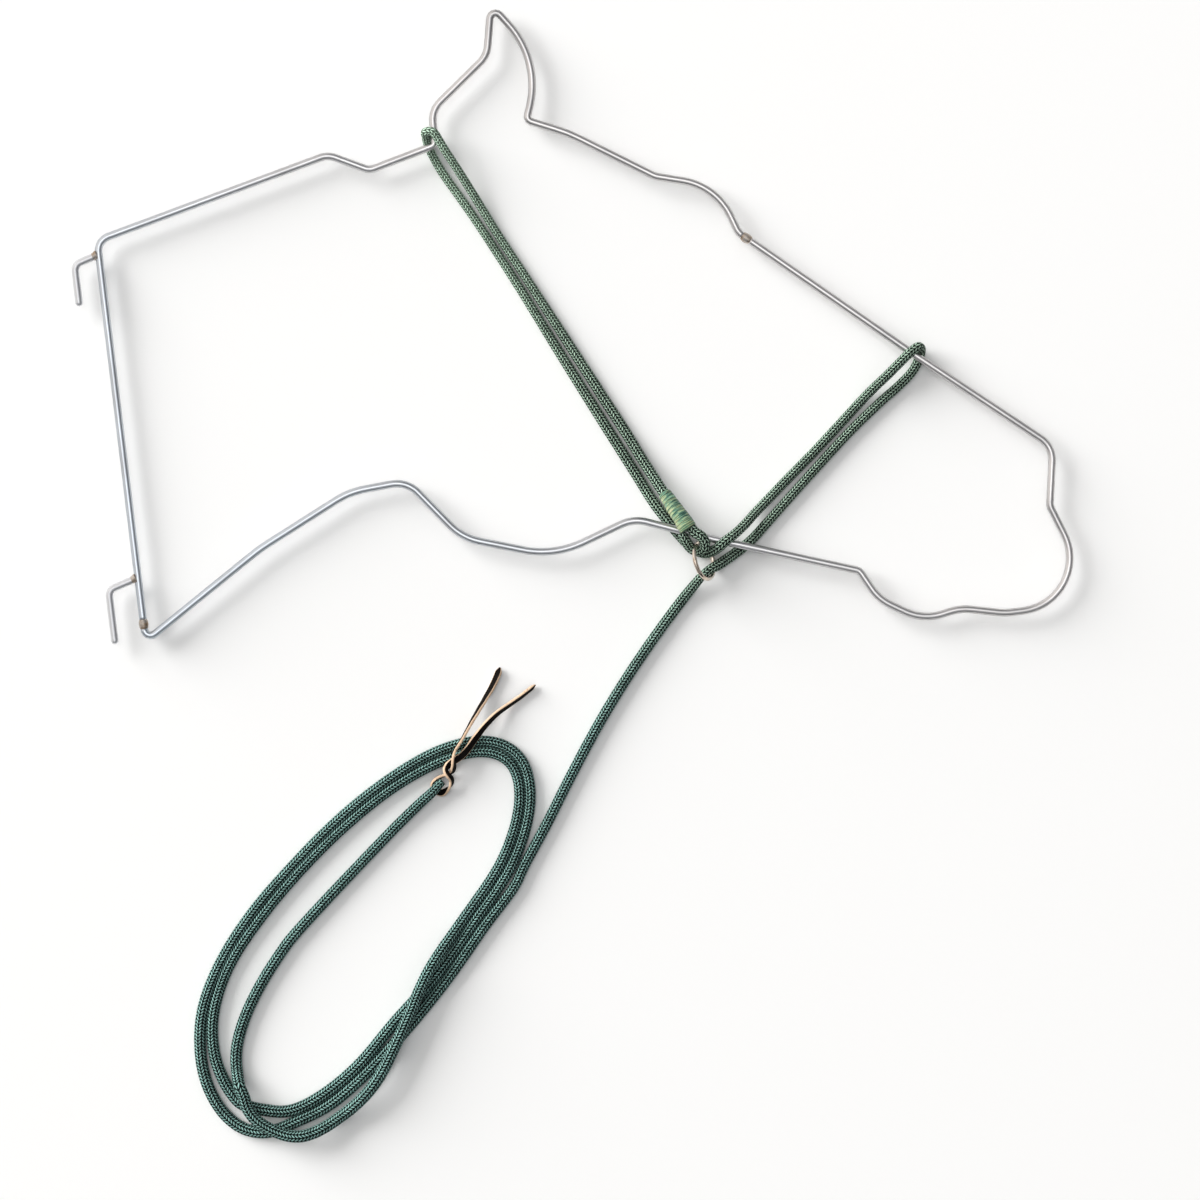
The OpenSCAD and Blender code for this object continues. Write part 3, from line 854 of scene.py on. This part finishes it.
class HALTER_OT_hanger(bpy.types.Operator):
    """The two bent wires of the horse head."""
    bl_idname = "halter.hanger"
    bl_label = "Hanger wires"

    def execute(self, context):
        steel = drawn_steel("hanger_wire",
                            tuple(context.scene.halter_colours.wire))
        for name, route, node in (("neck_bend", NECK_WIRE, "neck_wire"),
                                  ("face_bend", FACE_WIRE, "face_wire")):
            line = bent_line(route, WIRE_Z)
            piece = tube(name, line, [WIRE_D / 2] * len(line), steel,
                         "halter", WIRE_SIDES)
            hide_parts(node)
        return {"FINISHED"}


class HALTER_OT_hooks(bpy.types.Operator):
    """The two hooks that hang on a grid panel."""
    bl_idname = "halter.hooks"
    bl_label = "Hooks"

    def execute(self, context):
        steel = bpy.data.materials["hanger_wire"]
        r = WIRE_D / 2
        for name, (y, reach, drop) in HOOKS.items():
            corner = y - reach * HOOK_DOWN / HOOK_OUT
            end = corner - HOOK_CORNER - drop
            line = bent_line([(UPRIGHT_X - HOOK_OUT * (r + HOOK_GAP),
                               y - HOOK_DOWN * (r + HOOK_GAP), 0),
                              (UPRIGHT_X - reach, corner, HOOK_BEND),
                              (UPRIGHT_X - reach, end, 0)], WIRE_Z)
            radii = [r] * len(line)
            tip = line[-1]
            for k in range(1, TIP_STEPS + 1):
                turn = math.pi / 2 * k / TIP_STEPS
                line.append(tip - Vector((0, TIP_ROUND * math.sin(turn), 0)))
                radii.append(max(r * math.cos(turn), 0.02))
            piece = tube(name + "_hook_bend", line, radii, steel, "halter",
                         WIRE_SIDES)
            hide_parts(name + "_hook")
        return {"FINISHED"}


class HALTER_OT_welds(bpy.types.Operator):
    """The butt welds and the hooks' weld collars."""
    bl_idname = "halter.welds"
    bl_label = "Welds"

    def execute(self, context):
        metal = weld_metal("weld_bead", (0.62, 0.57, 0.52))
        r = WIRE_D / 2
        brow = (Vector(FACE_WIRE[1][:2]) - Vector(BROW)).normalized()
        for name, at, head in (("brow", BROW, brow),
                               ("base", BASE, Vector((0, 1)))):
            line, radii = [], []
            for k in range(BEAD_STEPS + 1):
                s = -BEAD_HALF + 2 * BEAD_HALF * k / BEAD_STEPS
                line.append(Vector((at[0] + head.x * s, at[1] + head.y * s,
                                    WIRE_Z)))
                swell = math.cos(math.pi * s / BEAD_SPAN) ** 0.8
                radii.append(r - 0.1 + BEAD_RISE * swell
                             + 0.14 * math.sin(s * 4.2))
            piece = tube(name + "_bead", line, radii, metal, "halter",
                         WIRE_SIDES)
            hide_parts(name + "_weld")
        for name, (y, _, _) in HOOKS.items():
            line, radii = [], []
            for k in range(COLLAR_STEPS + 1):
                share = k / COLLAR_STEPS
                s = COLLAR_FROM + COLLAR_LENGTH * k / COLLAR_STEPS
                line.append(Vector((UPRIGHT_X - HOOK_OUT * s,
                                    y - HOOK_DOWN * s, WIRE_Z)))
                radii.append(r + COLLAR_RISE * (1 - share) ** 1.4
                             + 0.1 * math.sin(s * 5.0) * (1 - share))
            piece = tube(name + "_hook_bead", line, radii, metal, "halter",
                         WIRE_SIDES)
            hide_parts(name + "_hook_weld")
        return {"FINISHED"}


class HALTER_OT_ring(bpy.types.Operator):
    """The ring that the lead runs through."""
    bl_idname = "halter.ring"
    bl_label = "Ring"

    def execute(self, context):
        metal = ring_metal("ring_metal",
                           tuple(context.scene.halter_colours.ring))
        centre = (RING_LOW + RING_HIGH) / 2
        bm = bmesh.new()
        bmesh.ops.create_circle(
            bm, cap_ends=False, segments=20, radius=RING_WIRE_R * MM,
            matrix=Matrix.Translation((RING_R * MM, 0, 0))
            @ Matrix.Rotation(math.pi / 2, 4, "X"))
        bmesh.ops.spin(bm, geom=bm.edges[:], cent=(0, 0, 0), axis=(0, 0, 1),
                       angle=2 * math.pi, steps=96, use_merge=True)
        bmesh.ops.remove_doubles(bm, verts=bm.verts, dist=1e-7)
        bmesh.ops.recalc_face_normals(bm, faces=bm.faces)
        bmesh.ops.transform(
            bm, verts=bm.verts, matrix=Matrix.Translation(centre)
            @ Matrix.Rotation(math.radians(RING_TURN), 4, "Z")
            @ Matrix.Rotation(math.radians(RING_LEAN), 4, "Y"))
        mesh = bpy.data.meshes.new("lead_ring")
        bm.to_mesh(mesh)
        bm.free()
        for face in mesh.polygons:
            face.use_smooth = True
        mesh.materials.append(metal)
        piece = bpy.data.objects.new("lead_ring", mesh)
        context.collection.objects.link(piece)
        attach(piece, "ring")
        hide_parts("ring")
        return {"FINISHED"}


class HALTER_OT_stage(bpy.types.Operator):
    """Floor, lamps and world."""
    bl_idname = "halter.stage"
    bl_label = "Stage"

    def execute(self, context):
        scene = context.scene
        scene.view_settings.view_transform = "Standard"
        bm = bmesh.new()
        bmesh.ops.create_grid(bm, x_segments=2, y_segments=2,
                              size=FLOOR_HALF)
        mesh = bpy.data.meshes.new("floor")
        bm.to_mesh(mesh)
        bm.free()
        floor = bpy.data.objects.new("floor", mesh)
        context.collection.objects.link(floor)
        s = Shade("pale_floor")
        surface = s.node("ShaderNodeBsdfDiffuse", None,
                         {"Color": (0.97, 0.97, 0.962)})
        s.node("ShaderNodeOutputMaterial", None,
               {"Surface": surface["BSDF"]})
        mesh.materials.append(s.material)
        key = self.lamp(context, "key", KEY_AT, KEY_SIZE, KEY_POWER)
        key.visible_glossy = False
        self.lamp(context, "top", TOP_AT, TOP_SIZE, TOP_POWER)
        scene.world = bpy.data.worlds.new("soft_room")
        s = Shade("soft_room", scene.world)
        facing = s.node("ShaderNodeTexCoord")["Generated"]
        up = s.node("ShaderNodeSeparateXYZ", None, {0: facing})["Z"]
        sky = s.node("ShaderNodeValToRGB", {"stops": [
            (0.0, (0.07, 0.07, 0.08)), (0.34, (0.10, 0.10, 0.11)),
            (0.64, (0.8, 0.82, 0.85)), (1.0, (1.0, 1.0, 1.0))]},
            {0: up})["Color"]
        # the wires show a soft window on the key's side
        window = s.node("ShaderNodeVectorMath", {"operation": "DOT_PRODUCT"},
                        {0: facing, 1: WINDOW_WAY})["Value"]
        sky = s.mix(window.step(0.5, 0.97), sky, WINDOW_GLOW)
        # past the floor's edge the room goes on as pale as the floor
        sky = s.mix(up.step(0.02, 0.06), LOW_ROOM, sky)
        back = s.node("ShaderNodeBackground", None,
                      {"Color": sky, "Strength": ROOM_STRENGTH})
        s.node("ShaderNodeOutputWorld", None,
               {"Surface": back["Background"]})
        return {"FINISHED"}

    def lamp(self, context, name, at, size, power):
        data = bpy.data.lights.new(name, "AREA")
        data.size, data.energy = size, power
        lamp = bpy.data.objects.new(name, data)
        context.collection.objects.link(lamp)
        aim = Vector(LAMPS_AIM) - Vector(at)
        lamp.matrix_world = (Matrix.Translation(at)
                             @ aim.to_track_quat("-Z", "Y").to_matrix()
                             .to_4x4())
        return lamp


class HALTER_PT_panel(bpy.types.Panel):
    """Lists the pieces of the halter."""
    bl_idname = "HALTER_PT_panel"
    bl_label = "Rope Halter"
    bl_space_type = "VIEW_3D"
    bl_region_type = "UI"
    bl_category = "Halter"

    def draw(self, context):
        column = self.layout.column()
        for group in (context.scene.halter_sizes,
                      context.scene.halter_colours):
            for key in group.__annotations__:
                column.prop(group, key)
        for step in STEPS:
            column.operator(step.bl_idname)


STEPS = (HALTER_OT_camera, HALTER_OT_popper, HALTER_OT_lead,
         HALTER_OT_halter_rope, HALTER_OT_whipping, HALTER_OT_hanger,
         HALTER_OT_hooks, HALTER_OT_welds, HALTER_OT_ring, HALTER_OT_stage)
CLASSES = (HalterSizes, HalterColours, *STEPS, HALTER_PT_panel)


def register():
    for item in CLASSES:
        bpy.utils.register_class(item)
    bpy.types.Scene.halter_sizes = PointerProperty(type=HalterSizes)
    bpy.types.Scene.halter_colours = PointerProperty(type=HalterColours)


def unregister():
    del bpy.types.Scene.halter_sizes
    del bpy.types.Scene.halter_colours
    for item in reversed(CLASSES):
        bpy.utils.unregister_class(item)


def main():
    register()
    for step in STEPS:
        group, name = step.bl_idname.split(".")
        getattr(getattr(bpy.ops, group), name)()
    bpy.context.view_layer.update()


if __name__ == "__main__":
    main()
